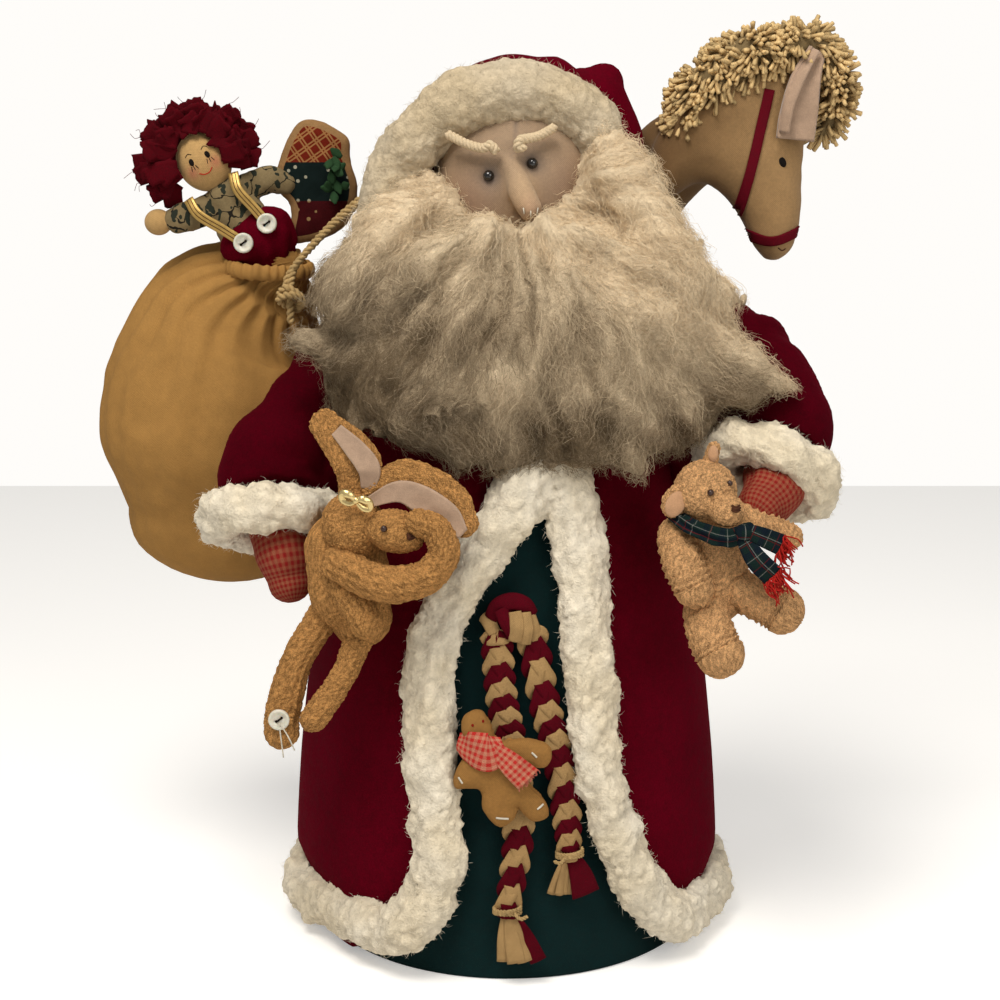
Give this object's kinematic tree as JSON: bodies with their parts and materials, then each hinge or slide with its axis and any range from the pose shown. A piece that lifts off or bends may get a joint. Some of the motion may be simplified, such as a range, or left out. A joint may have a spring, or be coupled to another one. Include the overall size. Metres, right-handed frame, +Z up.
{
  "type": "cloth father christmas figure",
  "caption": "Standing cloth Father Christmas doll with wool beard, fleece-trimmed coat, a sack of toys on one shoulder and a toy in each hand.",
  "frame": {"origin": "middle of the flat round underside", "axes": "+Z up, the figure faces -Y, its left hand is towards +X"},
  "size_m": [0.4474, 0.2757, 0.5257],
  "materials": {
    "green_cloth": "plain-weave cotton, very dark green",
    "burgundy_cloth": "brushed cotton, deep burgundy",
    "fleece": "curly sherpa fleece, cream white",
    "wool": "loose wool roving, grey beige",
    "face_cloth": "unbleached muslin over stuffing",
    "muslin": "tea-dyed muslin, gathered",
    "cord": "twisted cotton cord",
    "gingham": "red and cream woven check",
    "rabbit_terry": "looped terry, warm tan",
    "bear_terry": "looped terry, brown tan",
    "felt": "wool felt, pinkish beige",
    "yarn": "cut cotton yarn, straw",
    "ribbon": "woven ribbon, burgundy",
    "doll_cloth": "tea-dyed cotton, smooth",
    "leaf_print": "cotton printed with leaf sprigs",
    "torn_cloth": "torn cotton strips, burgundy",
    "patchwork": "patched cotton prints",
    "gingerbread_cloth": "brown tan cotton over stuffing",
    "plaid": "dark green and navy plaid, fringed",
    "bead": "polished black bead",
    "shell_button": "cream shirt button",
    "gold_ribbon": "narrow gold braid"
  },
  "bodies": {
    "root": {"gown": "green_cloth", "coat": "burgundy_cloth", "coat_trim": "fleece", "sleeve_right": "burgundy_cloth", "sleeve_left": "burgundy_cloth", "mitten_right": "gingham", "mitten_left": "gingham", "cuff_right": "fleece", "cuff_left": "fleece", "head": "face_cloth", "eye_right": "bead", "eye_left": "bead", "eyebrow_right": "cord", "eyebrow_left": "cord", "beard": "wool", "hood": "burgundy_cloth", "hood_trim": "fleece", "horse_head": "gingerbread_cloth", "horse_ear_near": "felt", "horse_ear_far": "felt", "horse_bridle": "ribbon", "horse_mane": "yarn", "sack": "muslin", "sack_cord": "cord", "doll_head": "doll_cloth", "doll_hair": "torn_cloth", "doll_overalls": "burgundy_cloth", "doll_shirt": "leaf_print", "doll_hand": "doll_cloth", "doll_button_1": "shell_button", "doll_button_2": "shell_button", "doll_strap_1": "gold_ribbon", "doll_strap_2": "gold_ribbon", "toy_ornament": "patchwork", "braided_belt": "burgundy_cloth", "tassel_tie_right": "cord", "tassel_tie_left": "cord", "gingerbread": "gingerbread_cloth", "gingerbread_scarf": "gingham", "rabbit_head": "rabbit_terry", "rabbit_body": "rabbit_terry", "rabbit_ear_upright": "rabbit_terry", "rabbit_ear_drooping": "rabbit_terry", "rabbit_arm_raised": "rabbit_terry", "rabbit_arm_hanging": "rabbit_terry", "rabbit_leg_outer": "rabbit_terry", "rabbit_leg_inner": "rabbit_terry", "rabbit_button": "shell_button", "rabbit_bow": "gold_ribbon", "bear_head": "bear_terry", "bear_body": "bear_terry", "bear_ear_left": "bear_terry", "bear_ear_right": "bear_terry", "bear_arm_right": "bear_terry", "bear_arm_left": "bear_terry", "bear_leg_right": "bear_terry", "bear_leg_left": "bear_terry", "bear_scarf": "plaid"}
  },
  "joints": []
}
